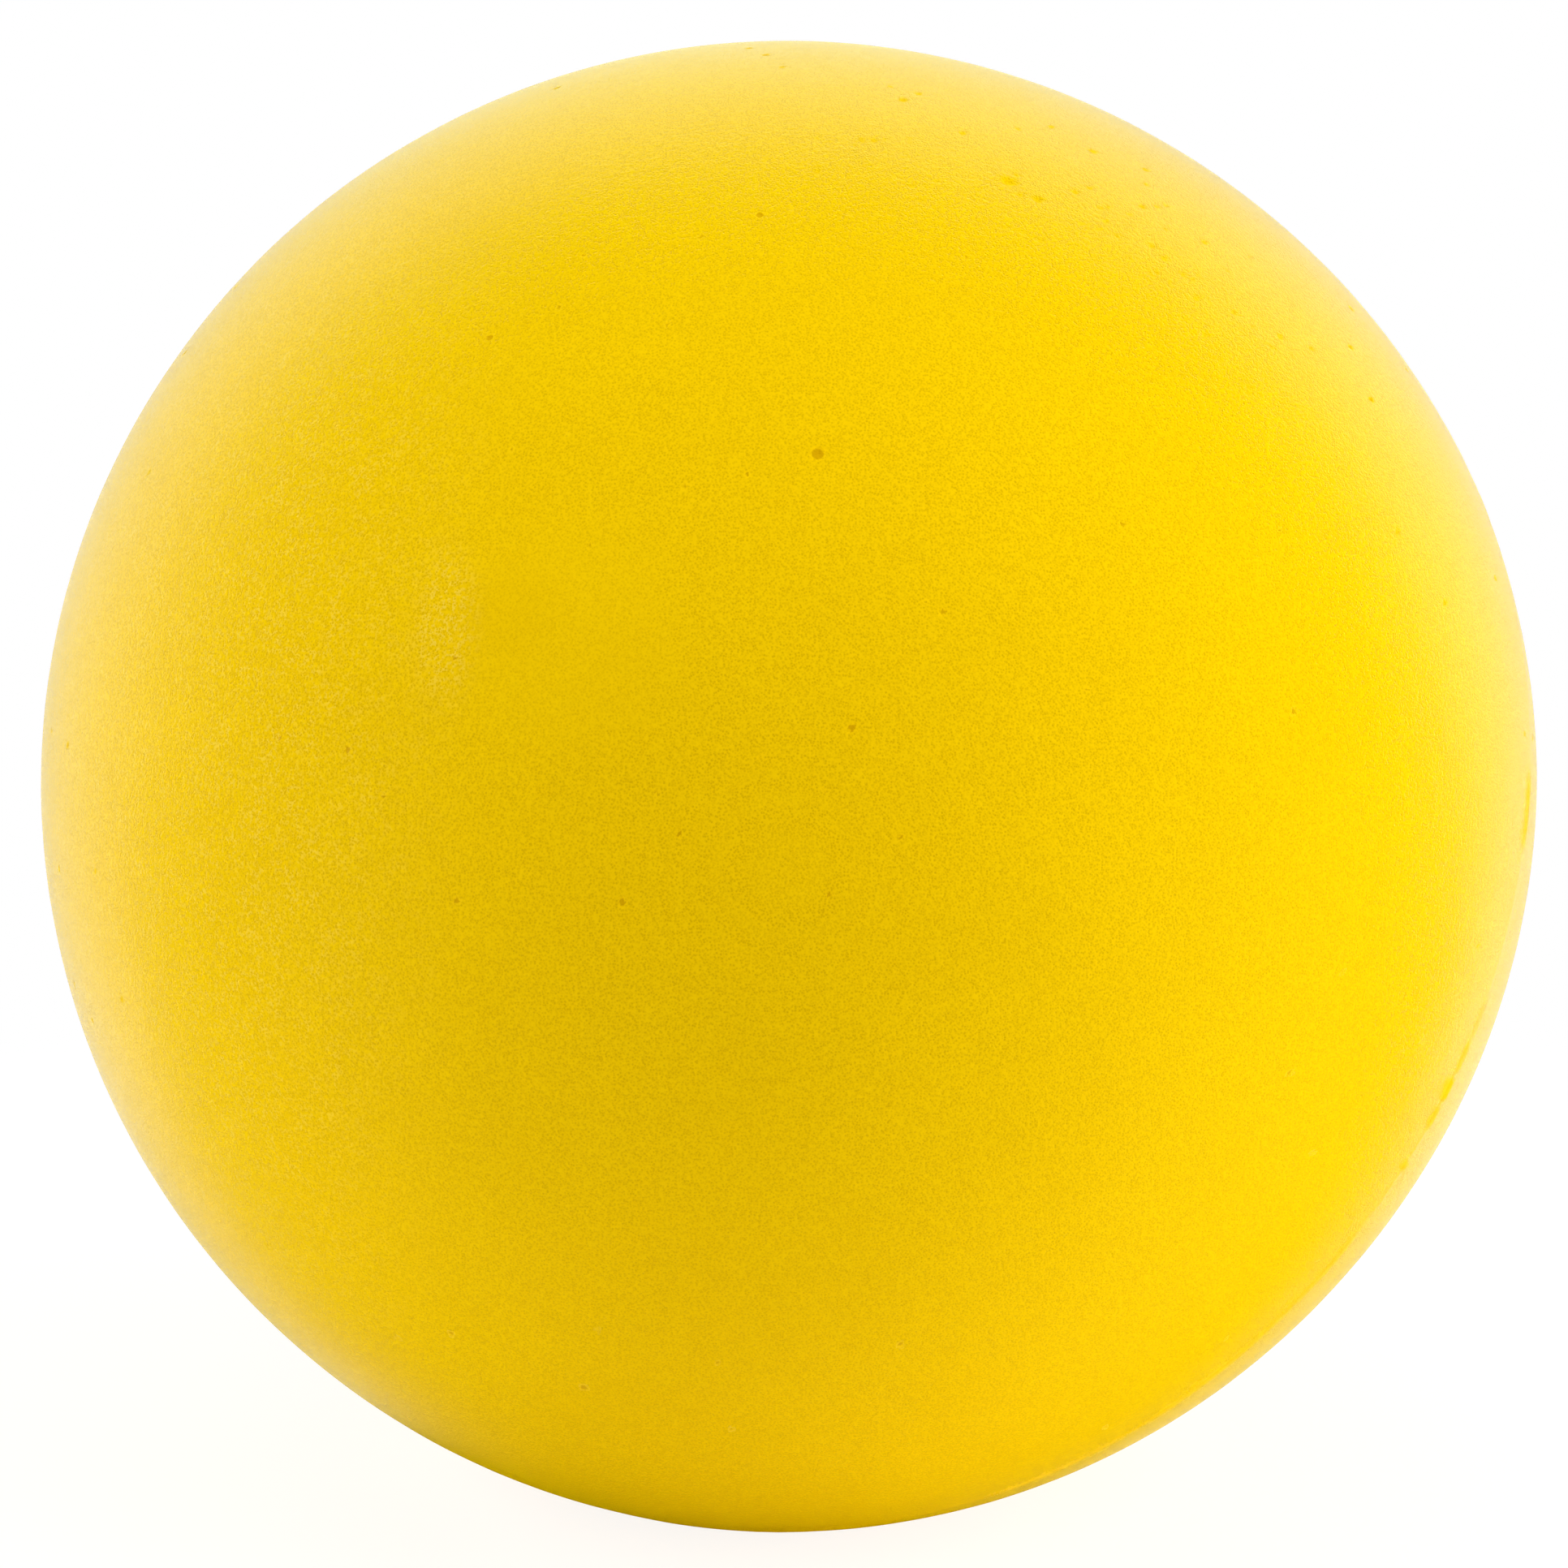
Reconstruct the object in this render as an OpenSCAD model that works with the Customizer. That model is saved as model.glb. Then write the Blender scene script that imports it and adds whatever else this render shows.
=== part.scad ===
// Foam tennis ball, moulded in one piece with an integral skin.
// The origin is the ball's centre and +Z is up as the ball lies on a table.
// A cellular core fills two dense half skins, one from each half of the mould.
// The trimmed ridge of flash where the mould halves met runs between the half skins.

/* [Ball] */
// Outside diameter of the ball over its skin
ball_d = 90; // [60:1:120]
// Thickness of the dense skin round the cellular core
skin_t = 0.8; // [0.4:0.1:2]

/* [Parting seam] */
// Width of the band of flash between the two half skins
seam_w = 0.8; // [0.5:0.1:2]
// Height of the trimmed ridge above the skin
seam_h = 0.2; // [0.1:0.05:0.25]
// Lean of the mould's axis from upright, in degrees
mould_lean = 70; // [0:1:90]
// Turn of the mould's axis about the upright, in degrees from +X
mould_turn = -113; // [-180:1:180]

/* [Hidden] */
$fn = 360;
core_d = ball_d - 2 * skin_t;
half_seam_w = seam_w / 2;
// Distance from the mould's axis to the edge of each half skin's rim
rim_r = sqrt(pow(ball_d / 2, 2) - pow(half_seam_w, 2));
// Radius of the rounded top that stands on a chord as wide as the seam
ridge_r = (pow(half_seam_w, 2) + pow(seam_h, 2)) / (2 * seam_h);
// How far the seam's profile starts inside the core's surface, before it is cut back to it
seam_root = skin_t;
skin_colour = "gold";
seam_colour = "khaki";
core_colour = "goldenrod";

// Stand the mould's axis the way the ball lies
module along_mould_axis() {
    rotate([0, mould_lean, mould_turn]) children();
}

// Half of the skin, on the +Z side of the parting plane, with a flat rim against the seam
module half_skin() {
    difference() {
        sphere(d = ball_d);
        sphere(d = core_d);
        translate([-ball_d, -ball_d, half_seam_w - 2 * ball_d]) cube(2 * ball_d);
    }
}

// Section of the seam: a flat-sided web through the skin under a low rounded ridge
module seam_profile() {
    web_start = core_d / 2 - seam_root;
    translate([web_start, -half_seam_w]) square([rim_r - web_start, seam_w]);
    intersection() {
        translate([rim_r + seam_h - ridge_r, 0]) circle(r = ridge_r);
        translate([rim_r, -half_seam_w]) square([seam_h, seam_w]);
    }
}

module foam_core() {
    color(core_colour) along_mould_axis() sphere(d = core_d);
}

module front_skin() {
    color(skin_colour) along_mould_axis() half_skin();
}

module back_skin() {
    color(skin_colour) along_mould_axis() mirror([0, 0, 1]) half_skin();
}

module parting_seam() {
    color(seam_colour) along_mould_axis() difference() {
        rotate_extrude() seam_profile();
        sphere(d = core_d);
    }
}

foam_core();
front_skin();
back_skin();
parting_seam();
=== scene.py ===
"""Foam tennis ball: porous half skins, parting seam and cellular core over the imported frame.
A plain stage with a light table, softboxes and a camera shows it as the photograph does."""

import math

import bpy
import numpy as np
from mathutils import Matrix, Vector


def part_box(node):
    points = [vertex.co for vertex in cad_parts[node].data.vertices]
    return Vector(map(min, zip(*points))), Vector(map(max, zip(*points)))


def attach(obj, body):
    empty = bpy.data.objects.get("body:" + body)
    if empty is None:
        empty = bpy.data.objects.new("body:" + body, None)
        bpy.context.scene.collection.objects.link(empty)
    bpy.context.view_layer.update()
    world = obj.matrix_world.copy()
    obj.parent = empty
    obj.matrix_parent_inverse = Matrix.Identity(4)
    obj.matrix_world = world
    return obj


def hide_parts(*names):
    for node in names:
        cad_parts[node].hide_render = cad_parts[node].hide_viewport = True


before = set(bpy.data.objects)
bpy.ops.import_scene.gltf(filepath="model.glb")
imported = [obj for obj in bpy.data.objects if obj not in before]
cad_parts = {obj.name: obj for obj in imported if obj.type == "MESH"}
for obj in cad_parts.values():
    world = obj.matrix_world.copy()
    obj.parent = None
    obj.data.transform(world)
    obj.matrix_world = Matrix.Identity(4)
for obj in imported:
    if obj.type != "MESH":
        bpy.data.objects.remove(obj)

bl_info = {
    "name": "Foam tennis ball",
    "version": (1, 0, 0),
    "blender": (4, 5, 0),
    "location": "View3D > Sidebar > Foam ball",
    "description": "Makes the skins, the parting seam, the core's finish and the stage of a foam ball",
    "category": "Add Mesh",
}

MM = 0.001


# What the frame gives


def node_points(name):
    """All corner points of a CAD node, as rows of x, y and z in metres."""
    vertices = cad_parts[name].data.vertices
    points = np.empty(len(vertices) * 3, np.float32)
    vertices.foreach_get("co", points)
    return points.reshape(-1, 3).astype(float)


def unit(vectors):
    """Each row divided by its own length."""
    vectors = np.asarray(vectors, float)
    return vectors / np.linalg.norm(vectors, axis=-1, keepdims=True)


SKIN_POINTS = node_points("front_skin")
SEAM_POINTS = node_points("parting_seam")
SKIN_REACH = np.linalg.norm(SKIN_POINTS, axis=1)
BALL_RADIUS = float(SKIN_REACH.max())
CORE_RADIUS = float(SKIN_REACH.min())
# The ring of the seam is thinnest along the mould's axis, which points out of the front half
MOULD_AXIS = np.linalg.eigh(SEAM_POINTS.T @ SEAM_POINTS)[1][:, 0]
MOULD_AXIS = MOULD_AXIS * np.sign(SKIN_POINTS.mean(0) @ MOULD_AXIS)
SEAM_HALF_WIDTH = float(np.abs(SEAM_POINTS @ MOULD_AXIS).max())
RIDGE_HEIGHT = float(np.linalg.norm(SEAM_POINTS, axis=1).max()) - BALL_RADIUS

# How the photograph was taken

PHOTO_SIDE = 1932
VIEW_DISTANCE = 4 * BALL_RADIUS
VIEW_ELEVATION = math.radians(5)
SENSOR_WIDTH_MM = 36
CLIP_START = 0.01
OUTLINE_RADIUS_PX = 919.16
BALL_RIGHT_OF_MIDDLE_PX = 4.9
BALL_BELOW_MIDDLE_PX = 1.0
TO_CAMERA = np.array([0, -math.cos(VIEW_ELEVATION), math.sin(VIEW_ELEVATION)])
PICTURE_RIGHT = np.array([1.0, 0, 0])
PICTURE_UP = np.array([0, math.sin(VIEW_ELEVATION), math.cos(VIEW_ELEVATION)])
# Half the angle that the ball's outline takes up at the camera
OUTLINE_HALF_ANGLE = math.asin(BALL_RADIUS / VIEW_DISTANCE)

# Axes across the parting plane, the first of them to the right of the picture
SEAM_RIGHT = unit(PICTURE_RIGHT - (PICTURE_RIGHT @ MOULD_AXIS) * MOULD_AXIS)
SEAM_UP = np.cross(MOULD_AXIS, SEAM_RIGHT)

# What the photograph shows

# Burst bubbles: right and up as shares of the outline's radius, width in mm
SHOWN_BUBBLES = (
    (0.04, 0.444, 0.8), (-0.038, 0.765, 0.55), (-0.4, 0.6, 0.5), (-0.146, -0.066, 0.45),
    (0.086, 0.076, 0.55), (-0.273, -0.808, 0.55), (0.15, -0.07, 0.4), (-0.444, -0.156, 0.45),
    (-0.59, 0.047, 0.45), (-0.445, 0.17, 0.4), (0.056, -0.148, 0.4),
)
# Shallow ones in the belt at the top right, in the same terms
BELT_BUBBLES = (
    (0.295, 0.81, 1.0), (0.335, 0.785, 0.7), (0.385, 0.795, 0.5), (0.405, 0.8, 0.4), (0.41, 0.85, 0.6),
    (0.48, 0.825, 0.5), (0.48, 0.805, 0.4), (0.475, 0.775, 0.5), (0.495, 0.775, 0.4), (0.425, 0.755, 0.4),
    (0.415, 0.745, 0.4), (0.505, 0.705, 0.5), (0.155, 0.92, 0.6), (0.235, 0.875, 0.5),
)
# Where small ones are scattered in that belt: bearing in degrees and share of the outline's radius
BELT_BEARINGS = (38, 92)
BELT_SHARES = (0.76, 0.95)
# Widths in mm of the scattered bubbles
SCATTERED_WIDTHS = (0.25, 0.5)
# A level above this is darkened by painted shade, and one up to it is only matt
MATT_ONLY_LEVEL = 0.5
# Flash left along the seam: bearing in the picture and half length in degrees, share of the ridge's height,
# and how far in mm the torn foam reaches from it
SHOWN_FLASH = (
    (-2, 3.5, 0.25, 1.3), (-19, 2.5, 0.1, 0.8), (-22, 1.7, 0.25, 1.0),
    (-24.8, 1.1, 0.6, 2.4), (-27.2, 1.2, 0.3, 1.5), (-31.7, 0.5, 0.3, 1.5),
    (-42, 5, 0.15, 1.2), (-54, 10, 0.15, 1.2), (-68, 8, 0.1, 0.8),
)
# Waves of the outline: how many to the turn, height in mm and bearing of a crest in degrees
OUTLINE_WAVES = ((2, 0.1, 22), (3, 0.1, 20), (4, 0.05, 7))
# The pressed patch near the pole of the front half: right and up as shares of the outline's radius
PATCH_EDGE = (-0.43, 0.215)
PATCH_MIDDLE = (-0.305, 0.205)
# The next two are the middles of the painted glints at the patch's left edge and of the painted shade in its
# dent
GLINTS_MIDDLE = (-0.46, 0.215)
DENT_SHADE_MIDDLE = (-0.37, 0.235)
# Half sizes in mm along x, y and z of the patch, of the painted shade of its dent and of the painted glints
# at its left edge
PATCH_SIZE = (6.5, 6.5, 6.5)
DENT_SHADE_SIZE = (3.3, 3.3, 3.1)
GLINTS_SIZE = (1.9, 4.0, 4.6)
# Size of the cells in space whose cut by the skin gives pores a pitch apart
CELL_SHARE = 0.47
# Name of the mesh layer that holds the painted shade and matt level of burst bubbles and the matt level of
# torn foam
BUBBLE_LAYER = "bubble"

# How fine the meshes are

# Cells across the outer and the inner grid of a half skin
OUTER_STEPS = 640
INNER_STEPS = 64
# Steps round the seam's ring and across its ridge
TURN_STEPS = 1800
RIDGE_STEPS = 16
# Half width and low edge of the outer and of the inner surface on the flat map from 0 to 1
OUTER_FLAT = (0.46, 0.005)
INNER_FLAT = (0.03, 0.935)
# Edges that turn by more than this stay sharp
SHARP_ANGLE = math.radians(60)

# Stage

# Softboxes: name, turn to the right of the camera's side and rise in degrees, distance, width and height in
# metres, and the stage setting that holds the brightness
SOFTBOXES = (
    ("right_softbox", 67, 22, 0.55, 0.42, 0.6, "right_light"),
    ("top_softbox", 0, 84, 0.5, 0.6, 0.3, "top_light"),
    ("left_softbox", -76, 15, 0.55, 0.35, 0.5, "left_light"),
    ("back_softbox", 180, 6, 0.7, 0.3, 0.3, "back_light"),
)
FLOOR_RADIUS = 4.0
FLOOR_RINGS = 24
FLOOR_TURNS = 96
# Glow of the table at each side of the ball: mm right of and behind the foot, and share of the full glow
GLOWS = ((38, -8, 1.0), (-48, 0, 0.6))
GLOW_START = 15 * MM
GLOW_END = 75 * MM
# Middle of the shade that the ball's foot casts on the table, in the same terms
FOOT_SHADE = (-4, 0)
WHITE = (1, 1, 1, 1)


# Sizes and colours that a user would change


class FoamBallSkin(bpy.types.PropertyGroup):
    """Sizes and colours of the two half skins."""

    pore_pitch: bpy.props.FloatProperty(
        name="Pore pitch", description="Distance between neighbouring pores", default=0.245 * MM,
        unit="LENGTH")
    pore_depth: bpy.props.FloatProperty(
        name="Pore depth", description="Depth of a pore below the skin", default=0.01 * MM, unit="LENGTH")
    bubble_depth: bpy.props.FloatProperty(
        name="Bubble depth", description="Depth of a burst bubble as a share of its width", default=0.12,
        subtype="FACTOR")
    bubble_count: bpy.props.IntProperty(
        name="Bubble count", description="Small burst bubbles scattered over the whole ball", default=220)
    rolling: bpy.props.FloatProperty(
        name="Rolling", description="Height of the skin's slow waves", default=0.02 * MM, unit="LENGTH")
    ripple: bpy.props.FloatProperty(
        name="Ripple", description="Height of the skin's short ripples", default=0.006 * MM, unit="LENGTH")
    lip: bpy.props.FloatProperty(
        name="Lip", description="Rise of the skin towards the seam", default=0.04 * MM, unit="LENGTH")
    patch_height: bpy.props.FloatProperty(
        name="Patch height", description="Height of the pressed patch's raised edge", default=0.2 * MM,
        unit="LENGTH")
    colour: bpy.props.FloatVectorProperty(
        name="Skin", description="Colour of the foam's skin", subtype="COLOR", size=4, min=0, max=1,
        default=(0.93, 0.606, 0.0012, 1))
    # Painted shade: this darker amber stands in for the shade inside pores and in the dent, and is also the
    # dark end of the skin's slow drift of tone
    pore_colour: bpy.props.FloatVectorProperty(
        name="Pores", description="Colour inside the pores", subtype="COLOR", size=4, min=0, max=1,
        default=(0.77, 0.455, 0.0006, 1))
    # Painted shade: this dark amber stands in for the shade inside burst bubbles
    bubble_colour: bpy.props.FloatVectorProperty(
        name="Bubbles", description="Colour inside burst bubbles", subtype="COLOR", size=4, min=0, max=1,
        default=(0.66, 0.33, 0.0006, 1))
    # Painted highlight: this pale colour stands in for glints of the light from the left on the net between
    # pores
    fleck_colour: bpy.props.FloatVectorProperty(
        name="Flecks", description="Colour of the pale flecks", subtype="COLOR", size=4, min=0, max=1,
        default=(0.92, 0.68, 0.13, 1))


class FoamBallSeam(bpy.types.PropertyGroup):
    """Sizes and colours of the parting seam."""

    ridge_height: bpy.props.FloatProperty(
        name="Ridge height", description="Height of the tallest flash above the skin", default=RIDGE_HEIGHT,
        unit="LENGTH")
    colour: bpy.props.FloatVectorProperty(
        name="Flash", description="Colour of the trimmed flash", subtype="COLOR", size=4, min=0, max=1,
        default=(0.93, 0.57, 0.0012, 1))


class FoamBallCore(bpy.types.PropertyGroup):
    """Sizes and colours of the cellular core."""

    cell_pitch: bpy.props.FloatProperty(
        name="Cell pitch", description="Distance between neighbouring cells", default=0.6 * MM,
        unit="LENGTH")
    wall_colour: bpy.props.FloatVectorProperty(
        name="Cell walls", description="Colour between the cells", subtype="COLOR", size=4, min=0, max=1,
        default=(0.90, 0.60, 0.02, 1))
    # Painted shade: this dark amber stands in for the shade inside the core's cells
    cell_colour: bpy.props.FloatVectorProperty(
        name="Cells", description="Colour inside the cells", subtype="COLOR", size=4, min=0, max=1,
        default=(0.62, 0.34, 0.004, 1))


class FoamBallStage(bpy.types.PropertyGroup):
    """Colours and light of the stage."""

    floor_colour: bpy.props.FloatVectorProperty(
        name="Floor", description="Colour of the floor", subtype="COLOR", size=4, min=0, max=1,
        default=(0.8, 0.8, 0.8, 1))
    table_glow: bpy.props.FloatProperty(
        name="Table glow", description="Light that comes up through the table beside the ball", default=0.6)
    glow_colour: bpy.props.FloatVectorProperty(
        name="Glow", description="Colour of the light from the table", subtype="COLOR", size=4, min=0, max=1,
        default=(1, 0.88, 0.5, 1))
    backdrop: bpy.props.FloatProperty(
        name="Backdrop", description="Light on the ball from the white surroundings behind it", default=0.3)
    right_light: bpy.props.FloatProperty(
        name="Right softbox", description="Brightness of the right softbox", default=4.85)
    top_light: bpy.props.FloatProperty(
        name="Top softbox", description="Brightness of the top softbox", default=2.0)
    left_light: bpy.props.FloatProperty(
        name="Left softbox", description="Brightness of the left softbox", default=5.15)
    back_light: bpy.props.FloatProperty(
        name="Back softbox", description="Brightness of the softbox behind the ball", default=3.2)


# Shape of the skin


def on_ball(right, up):
    """Unit direction of the point that the camera sees at this place in the picture.
    Right and up are shares of the outline's radius. The sight line is followed until it meets the ball."""
    slope = math.tan(OUTLINE_HALF_ANGLE)
    sight = unit(-TO_CAMERA + slope * (right * PICTURE_RIGHT + up * PICTURE_UP))
    start = TO_CAMERA * VIEW_DISTANCE
    along = -start @ sight
    miss_squared = start @ start - along ** 2
    reach = along - math.sqrt(max(BALL_RADIUS ** 2 - miss_squared, 0))
    return unit(start + reach * sight)


def smooth_step(value, low, high):
    """0 below low, 1 above high, and 3t² - 2t³ between them."""
    t = np.clip((value - low) / (high - low), 0, 1)
    return t * t * (3 - 2 * t)


def lattice_noise(points, pitch, seed):
    """Smooth noise from -1 to 1: random values on a cubic lattice, blended by 3t² - 2t³ on each axis."""
    side = 64
    values = np.random.default_rng(seed).uniform(-1, 1, (side, side, side))
    place = points / pitch + side / 2
    corner = np.floor(place).astype(int)
    t = place - corner
    t = t * t * (3 - 2 * t)
    total = np.zeros(points.shape[:-1])
    for step in np.ndindex(2, 2, 2):
        weight = np.prod(np.where(step, t, 1 - t), axis=-1)
        index = (corner + step) % side
        total += weight * values[index[..., 0], index[..., 1], index[..., 2]]
    return total


def bubble_rows(middles, widths, shade_and_matt_levels):
    """Bubbles as rows of direction, width in metres and level of painted shade and matt."""
    return np.concatenate([middles, np.stack([widths, shade_and_matt_levels], -1)], 1)


def shown_bubbles(table, shade_and_matt):
    """Rows of the bubbles in a table of what the photograph shows."""
    middles = np.array([on_ball(right, up) for right, up, _ in table])
    widths = np.array([width for _, _, width in table]) * MM
    return bubble_rows(middles, widths, np.full(len(table), shade_and_matt))


def scattered_bubbles(count):
    """Rows of small burst bubbles: most anywhere on the ball, a third as many more in the belt.
    A random direction is a normal draw on each axis, scaled to length 1."""
    draw = np.random.default_rng(11)
    anywhere = unit(draw.normal(size=(count, 3)))
    belt_count = count // 3
    bearing = np.radians(draw.uniform(*BELT_BEARINGS, belt_count))
    reach = draw.uniform(*BELT_SHARES, belt_count)
    belt = np.array([on_ball(r * math.cos(b), r * math.sin(b)) for r, b in zip(reach, bearing)])
    width = draw.uniform(*SCATTERED_WIDTHS, count + belt_count) * MM
    # Scattered bubbles get painted shade of random strength, and those in the belt are only matt
    shade_and_matt = np.concatenate([draw.uniform(MATT_ONLY_LEVEL, 1, count), np.full(belt_count, MATT_ONLY_LEVEL)])
    return bubble_rows(np.concatenate([anywhere, belt]), width, shade_and_matt)


def all_bubbles(count):
    """Rows of the bubbles that the photograph shows and of the scattered ones."""
    # The shown bubbles get full painted shade, and those in the belt are only matt
    shown = shown_bubbles(SHOWN_BUBBLES, 1)
    belt = shown_bubbles(BELT_BUBBLES, MATT_ONLY_LEVEL)
    return np.concatenate([shown, belt, scattered_bubbles(count)])


def outline_waves(directions):
    """Departure from round: each row of waves adds height · ρ^k · cos(k (bearing - crest)).
    There are k waves to the turn, and ρ and the bearing are the direction's own in the picture's plane."""
    turn = directions @ PICTURE_RIGHT + 1j * (directions @ PICTURE_UP)
    total = np.zeros(directions.shape[:-1])
    for count, height, crest in OUTLINE_WAVES:
        total += height * MM * np.real(turn ** count * np.exp(-1j * count * math.radians(crest)))
    return total


def pressed_patch(directions, height):
    """A low shoulder that climbs to the right to a firm edge, then falls away slowly.
    Up and down from its middle it fades by exp(-t²), where t is the distance in half heights."""
    climb_start = -4.5 * MM
    climb_end = 1.5 * MM
    fall_start = -2 * MM
    fall_end = 15 * MM
    half_height = 4.5 * MM
    edge = on_ball(*PATCH_EDGE)
    across = unit(PICTURE_RIGHT - (PICTURE_RIGHT @ edge) * edge)
    along = np.cross(edge, across)
    facing = directions @ edge > 0.8
    right = directions @ across * BALL_RADIUS
    up = directions @ along * BALL_RADIUS
    climb = smooth_step(right, climb_start, climb_end) / smooth_step(0, climb_start, climb_end)
    fall = 1 - smooth_step(right, fall_start, fall_end)
    shoulder = np.where(right < 0, climb, 1) * fall
    window = np.exp(-(up / half_height) ** 2)
    return height * shoulder * window * facing


def burst_bubbles(directions, count, depth_share):
    """Depth in metres and level from 0 to 1 of painted shade and matt of round hollows, at t half widths
    from a bubble's middle.
    The depth falls off by (1 - t²)², and that level by √(1 - t²)."""
    depth = np.zeros(directions.shape[:-1])
    shade_and_matt = np.zeros(directions.shape[:-1])
    for *middle, width, strength in all_bubbles(count):
        gap = np.linalg.norm(directions - middle, axis=-1) * BALL_RADIUS / (width / 2)
        hollow = np.clip(1 - gap ** 2, 0, None)
        depth += depth_share * width * hollow ** 2
        shade_and_matt = np.maximum(shade_and_matt, strength * np.sqrt(hollow))
    return depth, shade_and_matt


def skin_height(directions, skin):
    """How far the skin stands off the true ball in each direction, in metres.
    The lip fades from the seam by exp(-distance / reach). Slow waves and ripples are smooth noise."""
    lip_reach = 1.4 * MM
    roll_pitch = 9 * MM
    ripple_pitch = 1.7 * MM
    fine_pitch = 0.8 * MM
    points = directions * BALL_RADIUS
    from_seam = np.abs(points @ MOULD_AXIS) - SEAM_HALF_WIDTH
    lip = skin.lip * np.exp(-np.clip(from_seam, 0, None) / lip_reach)
    rolling = skin.rolling * lattice_noise(points, roll_pitch, 3)
    ripple = lattice_noise(points, ripple_pitch, 5) + 0.5 * lattice_noise(points, fine_pitch, 7)
    waves = outline_waves(directions) + lip + rolling + skin.ripple * ripple
    return waves + pressed_patch(directions, skin.patch_height)


# Meshes


def half_ball_directions(steps, rim_height):
    """Unit directions of a half ball about +Z, on a square grid with no pole, and their places on the grid.
    Each square ring of the grid becomes a circle: its radius is the larger coordinate, and the angle is an
    eighth of a turn times the ratio of the two. The disc is lifted so that equal areas stay equal:
    z = 1 - radius² (1 - rim height)."""
    side = np.linspace(-1, 1, steps + 1)
    a, b = np.meshgrid(side, side, indexing="ij")
    wide = np.abs(a) > np.abs(b)
    radius = np.where(wide, a, b)
    safe = np.where(radius == 0, 1, radius)
    ratio = np.where(wide, b, a) / safe
    angle = np.where(wide, math.pi / 4 * ratio, math.pi / 2 - math.pi / 4 * ratio)
    z = 1 - radius ** 2 * (1 - rim_height)
    out = np.sqrt(np.clip(1 - z ** 2, 0, None)) * np.sign(radius)
    directions = np.stack([out * np.cos(angle), out * np.sin(angle), z], -1)
    return directions.reshape(-1, 3), np.stack([a, b], -1).reshape(-1, 2)


def grid_quads(steps):
    """Corners of the cells of a square grid, as rows of four point numbers."""
    number = np.arange((steps + 1) ** 2).reshape(steps + 1, steps + 1)
    return np.stack([number[:-1, :-1], number[1:, :-1], number[1:, 1:], number[:-1, 1:]], -1).reshape(-1, 4)


def grid_border(steps):
    """Point numbers round the edge of a square grid, in the turning direction of its cells."""
    number = np.arange((steps + 1) ** 2).reshape(steps + 1, steps + 1)
    return np.concatenate([number[:-1, 0], number[-1, :-1], number[:0:-1, -1], number[0, :0:-1]])


def rim_triangles(outer, inner):
    """Wall between two rims whose point counts differ by a whole factor.
    Half of each run of outer edges fans out from one inner point and half from the next."""
    factor = len(outer) // len(inner)
    runs = outer[(np.arange(len(inner))[:, None] * factor + np.arange(factor + 1)) % len(outer)]
    first, second = inner[:, None], np.roll(inner, -1)[:, None]
    half = factor // 2
    near = np.where(np.arange(factor) < half, first, second)
    fans = np.stack([runs[:, 1:], runs[:, :-1], near], -1).reshape(-1, 3)
    bridges = np.concatenate([first, second, runs[:, half:half + 1]], 1)
    return np.concatenate([fans, bridges])


def mesh_object(name, points, quads, triangles, flat_places=None):
    """A new smooth-shaded object from whole arrays of points, quads and triangles."""
    mesh = bpy.data.meshes.new(name)
    corners = np.concatenate([quads.ravel(), triangles.ravel()]).astype(np.int32)
    sizes = np.concatenate([np.full(len(quads), 4), np.full(len(triangles), 3)]).astype(np.int32)
    mesh.vertices.add(len(points))
    mesh.vertices.foreach_set("co", points.astype(np.float32).ravel())
    mesh.loops.add(len(corners))
    mesh.loops.foreach_set("vertex_index", corners)
    mesh.polygons.add(len(sizes))
    mesh.polygons.foreach_set("loop_start", (np.cumsum(sizes) - sizes).astype(np.int32))
    mesh.polygons.foreach_set("use_smooth", np.ones(len(sizes), bool))
    mesh.update(calc_edges=True)
    if flat_places is not None:
        layer = mesh.uv_layers.new(name="OFBake")
        layer.data.foreach_set("uv", flat_places[corners].astype(np.float32).ravel())
    mesh.set_sharp_from_angle(angle=SHARP_ANGLE)
    if mesh.validate():
        raise RuntimeError(f"{name} has faces that don't close")
    piece = bpy.data.objects.new(name, mesh)
    bpy.context.scene.collection.objects.link(piece)
    return piece


def flat_square(places, half_width, low_edge):
    """Grid places from -1 to 1 moved to a square of the flat map."""
    return (places + 1) * half_width + low_edge


def add_stain(piece, shade_and_matt):
    """Writes each point's level of painted shade and matt to the mesh layer that the finish reads."""
    layer = piece.data.attributes.new(BUBBLE_LAYER, "FLOAT", "POINT")
    layer.data.foreach_set("value", shade_and_matt.astype(np.float32))


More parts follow.
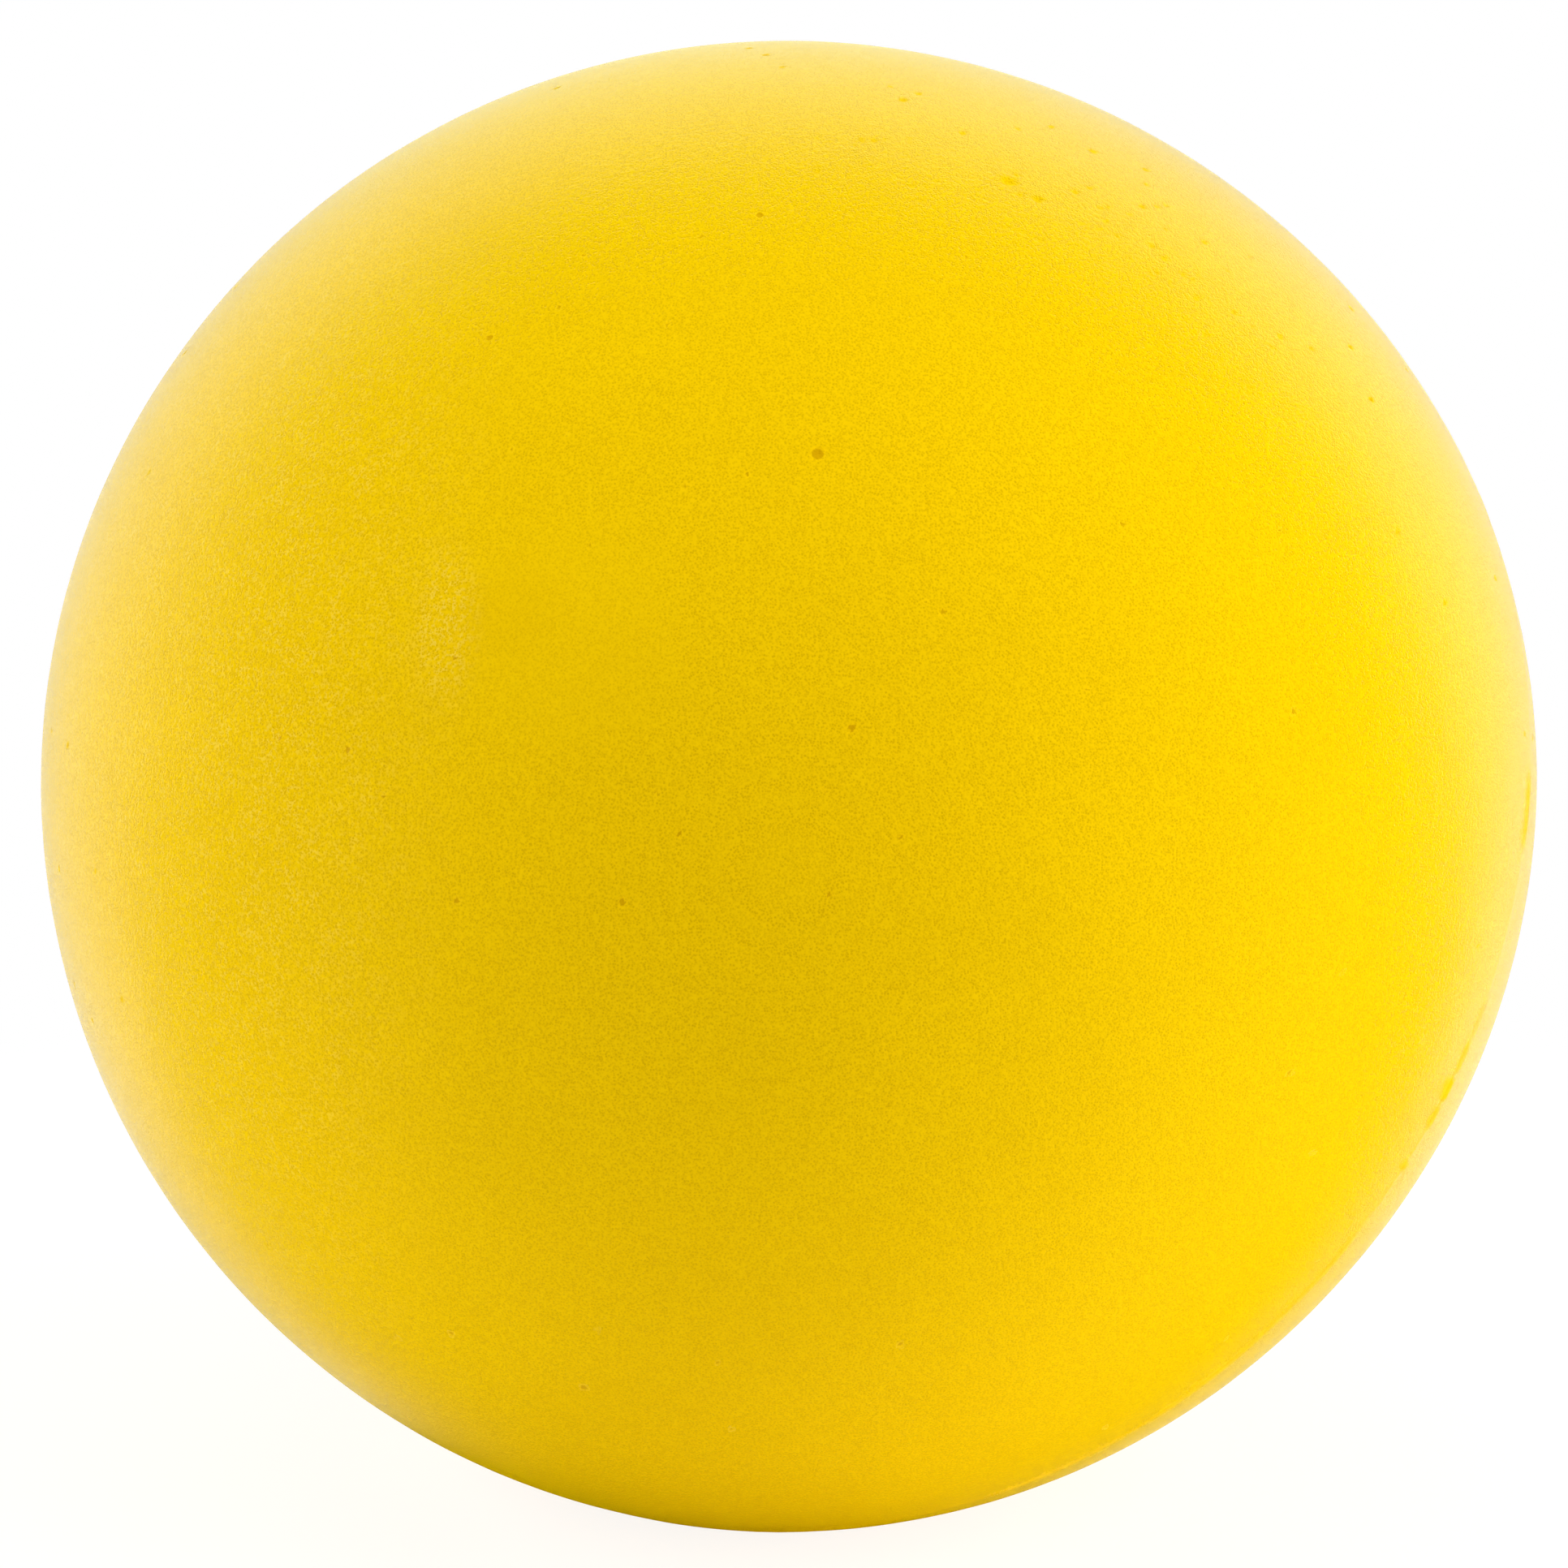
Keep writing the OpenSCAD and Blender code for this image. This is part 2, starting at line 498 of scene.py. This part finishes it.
def half_skin(name, side, skin):
    """Closed shell of one half: a fine outer grid, a coarse inner grid on the core and a wall between."""
    outer, outer_flat = half_ball_directions(OUTER_STEPS, SEAM_HALF_WIDTH / BALL_RADIUS)
    inner, inner_flat = half_ball_directions(INNER_STEPS, SEAM_HALF_WIDTH / CORE_RADIUS)
    axes = np.stack([SEAM_RIGHT, SEAM_UP, MOULD_AXIS * side])
    outer, inner = outer @ axes, inner @ axes
    hollow, shade_and_matt = burst_bubbles(outer, skin.bubble_count, skin.bubble_depth)
    shade_and_matt = np.maximum(shade_and_matt, torn_foam(outer))
    height = skin_height(outer, skin) - hollow
    points = np.concatenate([outer * (BALL_RADIUS + height)[:, None], inner * CORE_RADIUS])
    shift = len(outer)
    quads = np.concatenate([grid_quads(OUTER_STEPS), grid_quads(INNER_STEPS)[:, ::-1] + shift])
    triangles = rim_triangles(grid_border(OUTER_STEPS), grid_border(INNER_STEPS) + shift)
    if side < 0:
        quads, triangles = quads[:, ::-1], triangles[:, ::-1]
    # The outer surface fills most of the flat map and the hidden surface has a small corner of it
    flat = np.concatenate([flat_square(outer_flat, *OUTER_FLAT), flat_square(inner_flat, *INNER_FLAT)])
    piece = mesh_object(name, points, quads, triangles, flat)
    add_stain(piece, np.concatenate([shade_and_matt, np.zeros(len(inner))]))
    return piece


def picture_bearing(directions):
    """Bearing of each direction in the picture, in degrees anticlockwise from the right."""
    return np.degrees(np.arctan2(directions @ PICTURE_UP, directions @ PICTURE_RIGHT))


def torn_foam(directions):
    """Stain, from 0 to the matt one, of torn foam along the seam where the photograph has flash.
    It fades along the seam past each mark's half length, and across the front half past a reach that noise
    makes ragged. Taller flash leaves a stronger stain."""
    points = directions * BALL_RADIUS
    ragged = lattice_noise(points, 1.3 * MM, 31) + lattice_noise(points, 0.5 * MM, 33)
    least_reach = 0.1 * MM
    from_plane = points @ MOULD_AXIS
    bearing = picture_bearing(directions)
    facing = directions @ TO_CAMERA > 0
    total = np.zeros(directions.shape[:-1])
    for middle, half_length, height, far in SHOWN_FLASH:
        strength = 0.2 + 1.3 * height
        reach = np.maximum(far * MM * (1 + 0.5 * ragged), least_reach)
        along = strength * (1 - smooth_step(np.abs(bearing - middle) / half_length, 0.3, 1.3))
        across = 1 - smooth_step(from_plane / reach, 0.2, 1.1)
        total = np.maximum(total, along * across)
    front = smooth_step(from_plane, -2 * SEAM_HALF_WIDTH, -SEAM_HALF_WIDTH)
    return MATT_ONLY_LEVEL * total * facing * front


def flash_height(directions, ridge_height):
    """Height of the trimmed flash along the seam: low and uneven, with remains that the photograph shows.
    Where the camera doesn't see the seam, it stands a little taller and has remains at random."""
    points = directions * BALL_RADIUS
    uneven = 0.5 + 0.5 * lattice_noise(points, 2.5 * MM, 21)
    torn_edge = lattice_noise(points, 0.7 * MM, 23) + lattice_noise(points, 0.35 * MM, 27)
    ragged = 0.5 + 0.5 * np.clip(torn_edge, -1, 1)
    unseen = 1 - smooth_step(directions @ TO_CAMERA, 0.05, 0.25)
    least = 0.02 + 0.16 * unseen
    swing = 0.12 + 0.3 * unseen
    share = least + swing * uneven * ragged
    remains = smooth_step(lattice_noise(points, 6 * MM, 25), 0.25, 0.6) * (0.3 + 0.5 * ragged)
    bearing = picture_bearing(directions)
    facing = directions @ TO_CAMERA > 0
    shown = np.zeros(len(directions))
    for middle, half_length, height, _ in SHOWN_FLASH:
        gap = np.abs(bearing - middle) / half_length
        shown = np.maximum(shown, height * (1 - smooth_step(gap, 0.6, 1.1)) * (0.55 + 0.45 * ragged))
    return ridge_height * np.maximum(share, np.where(facing, shown, remains))


def tilted_ring(ring, tilt):
    """Unit directions of a ring in the parting plane, each turned towards the mould's axis by every sine."""
    level = np.sqrt(1 - tilt ** 2)
    return ring[:, None] * level[None, :, None] + tilt[None, :, None] * MOULD_AXIS


def seam_ring(skin, seam):
    """Closed ring: a web through the skin under a rounded ridge, carried round the parting plane.
    Across the ridge, the top is the skin's radius plus the flash's height times (1 - (z / half width)²)."""
    angle = np.linspace(0, 2 * math.pi, TURN_STEPS, endpoint=False)[:, None]
    ring = np.cos(angle) * SEAM_RIGHT + np.sin(angle) * SEAM_UP
    across = np.linspace(-1, 1, RIDGE_STEPS + 1)
    z = across * SEAM_HALF_WIDTH
    surface = tilted_ring(ring, z / BALL_RADIUS)
    stand = BALL_RADIUS + skin_height(surface, skin)
    stand = stand + flash_height(ring, seam.ridge_height)[:, None] * (1 - across ** 2)
    inner = tilted_ring(ring, z[::-1] / CORE_RADIUS)
    section = np.concatenate([surface * stand[..., None], inner * CORE_RADIUS], 1)
    count = section.shape[1]
    number = np.arange(TURN_STEPS * count).reshape(TURN_STEPS, count)
    after, beside = np.roll(number, -1, 0), np.roll(number, -1, 1)
    quads = np.stack([number, after, np.roll(after, -1, 1), beside], -1).reshape(-1, 4)
    points = section.reshape(-1, 3)
    piece = mesh_object("seam_ridge", points, quads, np.empty((0, 3), int))
    add_stain(piece, torn_foam(unit(points)))
    return piece


# Materials


class Wiring:
    """Adds nodes to one material or world, sets their sockets and links them."""

    def __init__(self, owner):
        owner.use_nodes = True
        self.tree = owner.node_tree
        self.tree.nodes.clear()

    def node(self, kind, settings=None, **sockets):
        """A node of this kind, with its settings, and its sockets set to values or linked to outputs."""
        made = self.tree.nodes.new(kind)
        for key, value in (settings or {}).items():
            setattr(made, key, value)
        for key, value in sockets.items():
            self.feed(made, key.replace("_", " "), value)
        return made

    def feed(self, node, key, value):
        """Sets one socket, found by its name or number, to a value or to another node's output."""
        socket = node.inputs[int(key)] if key.isdigit() else node.inputs[key]
        if isinstance(value, bpy.types.NodeSocket):
            self.tree.links.new(value, socket)
        else:
            socket.default_value = value

    def math(self, operation, first, second=0.0):
        """Output of one step of arithmetic."""
        made = self.node("ShaderNodeMath", {"operation": operation})
        self.feed(made, "0", first)
        self.feed(made, "1", second)
        return made.outputs[0]

    def between(self, value, low, high, to_low=0.0, to_high=1.0):
        """Output that eases from one value to another as the input goes from low to high."""
        made = self.node("ShaderNodeMapRange", {"interpolation_type": "SMOOTHSTEP"}, Value=value)
        for key, number in zip(("From Min", "From Max", "To Min", "To Max"), (low, high, to_low, to_high)):
            self.feed(made, key, number)
        return made.outputs[0]

    def blend(self, share, first, second):
        """Output that mixes two colours."""
        made = self.node("ShaderNodeMix", {"data_type": "RGBA"})
        self.feed(made, "0", share)
        self.feed(made, "6", first)
        self.feed(made, "7", second)
        return made.outputs[2]

    def product(self, first, *others):
        """Output of several numbers multiplied together."""
        for other in others:
            first = self.math("MULTIPLY", first, other)
        return first

    def vector(self, operation, first, second=None):
        """A node for one step of vector arithmetic."""
        made = self.node("ShaderNodeVectorMath", {"operation": operation})
        self.feed(made, "0", first)
        if second is not None:
            self.feed(made, "1", second)
        return made

    def along(self, place, way):
        """Output that says how far a point or direction reaches along this way."""
        return self.vector("DOT_PRODUCT", place, way).outputs["Value"]

    def pair(self, kind, first, second, share=None):
        """A node that adds two shaders, or mixes them by a share."""
        made = self.node(kind)
        shaders = [key for key, socket in enumerate(made.inputs) if socket.type == "SHADER"]
        self.feed(made, str(shaders[0]), first.outputs[0])
        self.feed(made, str(shaders[1]), second.outputs[0])
        if share is not None:
            self.feed(made, "0", share)
        return made

    def floor_reach(self, place, right, back):
        """Output of the distance across the floor from a point, in mm right of and behind the foot."""
        away = self.vector("SUBTRACT", place, (right * MM, back * MM, 0)).outputs[0]
        flat = self.vector("MULTIPLY", away, (1, 1, 0)).outputs[0]
        return self.vector("LENGTH", flat).outputs["Value"]

    def noise(self, place, size, detail=2.0):
        """Output of smooth noise from 0 to 1 whose features are about this size in metres."""
        made = self.node("ShaderNodeTexNoise", None, Vector=place, Scale=1 / size, Detail=detail)
        return made.outputs[0]

    def cells(self, place, size):
        """Outputs of packed cells of a size: distance to a middle, in cells, and the cell's own number."""
        made = self.node("ShaderNodeTexVoronoi", {"feature": "F1"}, Vector=place, Scale=1 / size)
        return made.outputs["Distance"], made.outputs["Color"]

    def gap(self, place, way, size):
        """Output of the distance from a point of the ball, in half sizes of an ellipsoid given in mm."""
        away = self.vector("SUBTRACT", place, tuple(way * BALL_RADIUS)).outputs[0]
        scaled = self.vector("DIVIDE", away, [half * MM for half in size]).outputs[0]
        return self.vector("LENGTH", scaled).outputs["Value"]

    def emission(self, strength, colour=WHITE):
        """A shader that gives off light."""
        return self.node("ShaderNodeEmission", None, Color=colour, Strength=strength)

    def output(self, shader):
        """Ends a material with this shader."""
        self.node("ShaderNodeOutputMaterial", None, Surface=shader.outputs[0])


def pores(w, place, skin, pore_share):
    """Output of how deep a point lies in a pore: 0 on the net between pores and about 1 at a pore's middle.
    Pores are round and packed side by side, differ from one another and are shallow on the pressed patch."""
    distance, own = w.cells(place, skin.pore_pitch * CELL_SHARE)
    round_pore = w.between(distance, 0.15, 0.75, 1, 0)
    degree = w.between(own, 0, 1, 0.5, 1.5)
    fade = w.between(w.gap(place, on_ball(*PATCH_MIDDLE), PATCH_SIZE), 0.55, 1.15, 0.7, 1)
    return w.product(round_pore, degree, fade, pore_share)


def pale_flecks(w, place):
    """Output of painted glints, pale flecks that stand in for highlights of the light from the left on the
    net: thick along the pressed patch's left edge, thin on the left of the ball.
    """
    edge = w.between(w.gap(place, on_ball(*GLINTS_MIDDLE), GLINTS_SIZE), 0.3, 1.2, 1, 0)
    thick = w.product(edge, w.between(w.noise(place, 0.25 * MM, 3), 0.45, 0.6))
    # Painted highlight on the left of the ball, the side that the left softbox lights
    left = w.between(w.along(place, (-1.0, 0.0, 0.1)), 14 * MM, 28 * MM)
    patchy = w.between(w.noise(place, 1.2 * MM, 2), 0.35, 0.65, 0.3, 1)
    thin = w.product(left, patchy, w.between(w.noise(place, 0.22 * MM, 3), 0.46, 0.6))
    return w.math("MAXIMUM", thick, thin)


def skin_colour(w, place, skin, colour, pore, bubble):
    """Output of the skin's colour. It drifts slowly over the ball, and painted shade makes it darker in the
    dent and in pores.
    Painted shade in burst bubbles is amber, and the net between pores is pale where painted glints lie."""
    drift = w.between(w.noise(place, 11 * MM, 2), 0.3, 0.7, 0, 0.1)
    # Painted shade: the skin is darkened in the dent beside the patch's raised edge
    dent_shade = w.between(w.gap(place, on_ball(*DENT_SHADE_MIDDLE), DENT_SHADE_SIZE), 0.3, 1.2, 0.2, 0)
    base = w.blend(w.math("ADD", drift, dent_shade), colour, skin.pore_colour)
    # Painted shade: pores are darkened towards the darker amber where they are deepest
    base = w.blend(w.product(pore, 0.78), base, skin.pore_colour)
    # Painted shade: burst bubbles past the matt-only level are darkened towards the dark amber
    base = w.blend(w.between(bubble, MATT_ONLY_LEVEL, 0.75, 0, 0.85), base, skin.bubble_colour)
    # Painted highlight: the net between pores turns pale where the glints lie
    on_net = w.between(pore, 0.2, 0.8, 0.34, 0)
    return w.blend(w.product(pale_flecks(w, place), on_net), base, skin.fleck_colour)


def porous_finish(name, skin, colour, pore_share):
    """Satin foam skin whose pores are lower and rougher than the net between them, and darker by painted
    shade.
    Burst bubbles and torn foam are matt. Gloss is yellow face on and pale edge on."""
    material = bpy.data.materials.new(name)
    w = Wiring(material)
    place = w.node("ShaderNodeTexCoord").outputs["Object"]
    pore = pores(w, place, skin, pore_share)
    # The layer holds each point's level of painted shade and matt
    bubble = w.node("ShaderNodeAttribute", {"attribute_name": BUBBLE_LAYER}).outputs["Fac"]
    base = skin_colour(w, place, skin, colour, pore, bubble)
    coarse = w.product(w.noise(place, 0.3 * MM, 2), 3.0)
    height = w.math("SUBTRACT", coarse, pore)
    bump = w.node("ShaderNodeBump", None, Strength=1.0, Distance=skin.pore_depth, Height=height)
    matt = w.product(w.math("MINIMUM", bubble, MATT_ONLY_LEVEL), 1.3)
    rough = w.math("ADD", w.between(pore, 0, 1, 0.1, 0.2), matt)
    shader = w.node("ShaderNodeBsdfPrincipled", None, Base_Color=base, Roughness=rough, IOR=1.4,
                    Specular_IOR_Level=0.5, Specular_Tint=(1.0, 0.75, 0.0, 1), Sheen_Weight=0.4,
                    Sheen_Roughness=0.5, Sheen_Tint=(1.0, 0.92, 0.0, 1), Normal=bump.outputs[0])
    w.output(shader)
    return material


def cellular_finish(name, core):
    """Matt open foam: round cells darkened by painted shade between lighter walls, for the hidden core."""
    cell_depth = 0.2 * MM
    material = bpy.data.materials.new(name)
    w = Wiring(material)
    place = w.node("ShaderNodeTexCoord").outputs["Object"]
    distance, _ = w.cells(place, core.cell_pitch)
    cell = w.between(distance, 0.25, 0.6, 1, 0)
    # Painted shade: the cells are darkened towards the dark amber
    base = w.blend(cell, core.wall_colour, core.cell_colour)
    height = w.math("SUBTRACT", 1.0, cell)
    bump = w.node("ShaderNodeBump", None, Strength=1.0, Distance=cell_depth, Height=height)
    rough = w.between(cell, 0, 1, 0.75, 0.95)
    shader = w.node("ShaderNodeBsdfPrincipled", None, Base_Color=base, Roughness=rough,
                    Normal=bump.outputs[0])
    w.output(shader)
    return material


def mirrored_white(w, place):
    """Output of how white the table looks in the ball's gloss: a painted reflection that the floor gives off
    to glossy rays only.
    It is white behind a slanting line on each side of the ball, weaker near the foot and dark at it, where
    it paints the ball's shadow."""
    across = w.along(place, (1.0, 0.0, 0.0))
    left_edge = w.between(w.along(place, (0.37, 1.0, 0.0)), -30 * MM, -13 * MM)
    left_part = w.product(left_edge, w.between(across, -28 * MM, -12 * MM, 1, 0))
    right_edge = w.between(w.along(place, (-0.55, 1.0, 0.0)), -24 * MM, -15 * MM)
    right_part = w.product(right_edge, w.between(across, 4 * MM, 18 * MM))
    from_foot = w.floor_reach(place, *FOOT_SHADE)
    clear = w.between(from_foot, 17 * MM, 28 * MM)
    level = w.product(clear, w.between(from_foot, 25 * MM, 110 * MM, 0.5, 0.97))
    return w.product(w.math("ADD", left_part, right_part), level)


def floor_finish(stage):
    """Matt pale light table. The camera sees most of it as steady white, with the ball's shadow on the rest.
    Away from the ball it is plain white for the camera, so no edge shows against the surroundings."""
    steady_share = 0.86
    shadow_colour = (0.2, 0.2, 0.2, 1)
    material = bpy.data.materials.new("pale_floor")
    w = Wiring(material)
    place = w.node("ShaderNodeTexCoord").outputs["Object"]
    ray = w.node("ShaderNodeLightPath")
    matt = w.node("ShaderNodeBsdfDiffuse", None, Color=stage.floor_colour)
    glow = 0.0
    for right, back, share in GLOWS:
        reach = w.floor_reach(place, right, back)
        glow = w.math("MAXIMUM", w.between(reach, GLOW_START, GLOW_END, share * stage.table_glow, 0), glow)
    table = w.pair("ShaderNodeAddShader", matt, w.emission(glow, stage.glow_colour))
    # Painted reflection: glossy rays see this emission instead of the lit table, with a painted shadow at
    # the foot
    mirrored = w.emission(mirrored_white(w, place))
    table = w.pair("ShaderNodeMixShader", table, mirrored, ray.outputs["Is Glossy Ray"])
    shaded = w.node("ShaderNodeBsdfDiffuse", None, Color=shadow_colour)
    near = w.pair("ShaderNodeAddShader", shaded, w.emission(steady_share))
    far = w.between(w.floor_reach(place, 0, 0), 1.4 * BALL_RADIUS, 4 * BALL_RADIUS)
    seen = w.pair("ShaderNodeMixShader", near, w.emission(1.0), far)
    w.output(w.pair("ShaderNodeMixShader", table, seen, ray.outputs["Is Camera Ray"]))
    return material


# Operators


def place_piece(piece, material, slot, *nodes):
    """Gives a finished piece its material and its body, and hides the CAD nodes that it stands for.
    The slot is not used.
    """
    piece.data.materials.append(material)
    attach(piece, "root")
    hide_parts(*nodes)


class FOAMBALL_OT_half_skins(bpy.types.Operator):
    """Make the porous skin of the front half and of the back half"""

    bl_idname = "foam_ball.half_skins"
    bl_label = "Half skins"

    def execute(self, context):
        skin = context.scene.foam_ball_skin
        finish = porous_finish("porous_skin", skin, skin.colour, 1.0)
        for name, node, side in (("porous_front", "front_skin", 1), ("porous_back", "back_skin", -1)):
            piece = half_skin(name, side, skin)
            place_piece(piece, finish, "skin", node)
        return {"FINISHED"}


class FOAMBALL_OT_parting_seam(bpy.types.Operator):
    """Make the ring of trimmed flash between the half skins"""

    bl_idname = "foam_ball.parting_seam"
    bl_label = "Parting seam"

    def execute(self, context):
        skin = context.scene.foam_ball_skin
        seam = context.scene.foam_ball_seam
        finish = porous_finish("trimmed_flash", skin, seam.colour, 0.5)
        place_piece(seam_ring(skin, seam), finish, "seam", "parting_seam")
        return {"FINISHED"}


class FOAMBALL_OT_foam_core(bpy.types.Operator):
    """Give the core its cellular finish"""

    bl_idname = "foam_ball.foam_core"
    bl_label = "Foam core"

    def execute(self, context):
        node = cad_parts["foam_core"]
        node.data.materials.clear()
        node.data.materials.append(cellular_finish("cellular_foam", context.scene.foam_ball_core))
        return {"FINISHED"}


def direction(turn, rise):
    """Unit direction of a lamp, from its turn to the right of the camera's side and its rise, in degrees."""
    turn, rise = math.radians(turn), math.radians(rise)
    return Vector((math.sin(turn) * math.cos(rise), -math.cos(turn) * math.cos(rise), math.sin(rise)))


def softbox(name, turn, rise, distance, width, height, brightness):
    """A flat rectangular lamp that faces the ball. Its power is brightness · π · area."""
    lamp = bpy.data.lights.new(name, "AREA")
    lamp.shape = "RECTANGLE"
    lamp.size = width
    lamp.size_y = height
    lamp.energy = brightness * math.pi * width * height
    holder = bpy.data.objects.new(name, lamp)
    bpy.context.scene.collection.objects.link(holder)
    towards = direction(turn, rise)
    holder.location = towards * distance
    holder.rotation_euler = towards.to_track_quat("Z", "Y").to_euler()
    holder.visible_camera = False
    # The ball's gloss shows the surroundings and not the lamps, also on rays that are aimed by chance
    holder.visible_glossy = False
    lamp.cycles.use_multiple_importance_sampling = False
    return holder


def studio_world(stage):
    """White for the camera. Other rays find white behind the ball and at its left, and dark in front."""
    world = bpy.data.worlds.new("studio")
    w = Wiring(world)
    way = w.node("ShaderNodeTexCoord").outputs["Generated"]
    behind = w.between(w.along(way, (0.0, 1.0, 0.05)), 0.37, 0.45)
    left = w.between(w.along(way, (-0.8, 0.6, 0.0)), 0.72, 1.1)
    shown = w.math("MAXIMUM", behind, left)
    ray = w.node("ShaderNodeLightPath")
    level = w.math("MAXIMUM", ray.outputs["Is Glossy Ray"], stage.backdrop)
    strength = w.math("MAXIMUM", w.product(shown, level), ray.outputs["Is Camera Ray"])
    ground = w.node("ShaderNodeBackground", None, Color=WHITE, Strength=strength)
    w.node("ShaderNodeOutputWorld", None, Surface=ground.outputs[0])
    bpy.context.scene.world = world


def floor_disc(radius, rings, turns):
    """A flat floor under the ball: a polar grid about the foot, closed by triangles in its middle."""
    reach = radius * np.linspace(0, 1, rings + 1)[1:, None] ** 2
    angle = np.linspace(0, 2 * math.pi, turns, endpoint=False)[None]
    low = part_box("front_skin")[0].z
    level = np.full((rings, turns), low)
    flat = np.stack([reach * np.cos(angle), reach * np.sin(angle), level], -1).reshape(-1, 3)
    number = np.arange(rings * turns).reshape(rings, turns)
    after = np.roll(number, -1, 1)
    quads = np.stack([number[:-1], number[1:], after[1:], after[:-1]], -1).reshape(-1, 4)
    middle = rings * turns
    fan = np.stack([np.full(turns, middle), number[0], after[0]], -1)
    return mesh_object("floor", np.concatenate([flat, [[0, 0, low]]]), quads, fan)


class FOAMBALL_OT_stage(bpy.types.Operator):
    """Make the floor, the softboxes, the surroundings and the camera"""

    bl_idname = "foam_ball.stage"
    bl_label = "Stage"

    def execute(self, context):
        scene = context.scene
        stage = scene.foam_ball_stage
        floor = floor_disc(FLOOR_RADIUS, FLOOR_RINGS, FLOOR_TURNS)
        floor.data.materials.append(floor_finish(stage))
        for *placing, brightness in SOFTBOXES:
            softbox(*placing, getattr(stage, brightness))
        studio_world(stage)
        camera = bpy.data.cameras.new("photo_camera")
        camera.sensor_width = SENSOR_WIDTH_MM
        focal_px = OUTLINE_RADIUS_PX / math.tan(OUTLINE_HALF_ANGLE)
        camera.lens = camera.sensor_width * focal_px / PHOTO_SIDE
        camera.shift_x = -BALL_RIGHT_OF_MIDDLE_PX / PHOTO_SIDE
        camera.shift_y = BALL_BELOW_MIDDLE_PX / PHOTO_SIDE
        camera.clip_start = CLIP_START
        holder = bpy.data.objects.new("photo_camera", camera)
        scene.collection.objects.link(holder)
        holder.location = TO_CAMERA * VIEW_DISTANCE
        holder.rotation_euler = (math.pi / 2 - VIEW_ELEVATION, 0, 0)
        scene.camera = holder
        scene.view_settings.view_transform = "Standard"
        return {"FINISHED"}


class FOAMBALL_PT_sidebar(bpy.types.Panel):
    """Lists the pieces of the ball with their sizes and colours"""

    bl_idname = "FOAMBALL_PT_sidebar"
    bl_label = "Foam ball"
    bl_space_type = "VIEW_3D"
    bl_region_type = "UI"
    bl_category = "Foam ball"

    def draw(self, context):
        for operator, group in PIECES:
            box = self.layout.box()
            box.operator(operator.bl_idname)
            settings = getattr(context.scene, group)
            for name in settings.__annotations__:
                box.prop(settings, name)


PIECES = (
    (FOAMBALL_OT_half_skins, "foam_ball_skin"),
    (FOAMBALL_OT_parting_seam, "foam_ball_seam"),
    (FOAMBALL_OT_foam_core, "foam_ball_core"),
    (FOAMBALL_OT_stage, "foam_ball_stage"),
)
GROUPS = {
    "foam_ball_skin": FoamBallSkin,
    "foam_ball_seam": FoamBallSeam,
    "foam_ball_core": FoamBallCore,
    "foam_ball_stage": FoamBallStage,
}
CLASSES = (*GROUPS.values(), *(operator for operator, _ in PIECES), FOAMBALL_PT_sidebar)


def register():
    """Registers the classes and puts the settings on the scene."""
    for kind in CLASSES:
        bpy.utils.register_class(kind)
    for name, group in GROUPS.items():
        setattr(bpy.types.Scene, name, bpy.props.PointerProperty(type=group))


def unregister():
    """Takes the settings off the scene and removes the classes."""
    for name in GROUPS:
        delattr(bpy.types.Scene, name)
    for kind in reversed(CLASSES):
        bpy.utils.unregister_class(kind)


def main():
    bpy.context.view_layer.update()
    register()
    bpy.ops.foam_ball.stage()
    bpy.ops.foam_ball.half_skins()
    bpy.ops.foam_ball.parting_seam()
    bpy.ops.foam_ball.foam_core()
    bpy.context.view_layer.update()


if __name__ == "__main__":
    main()
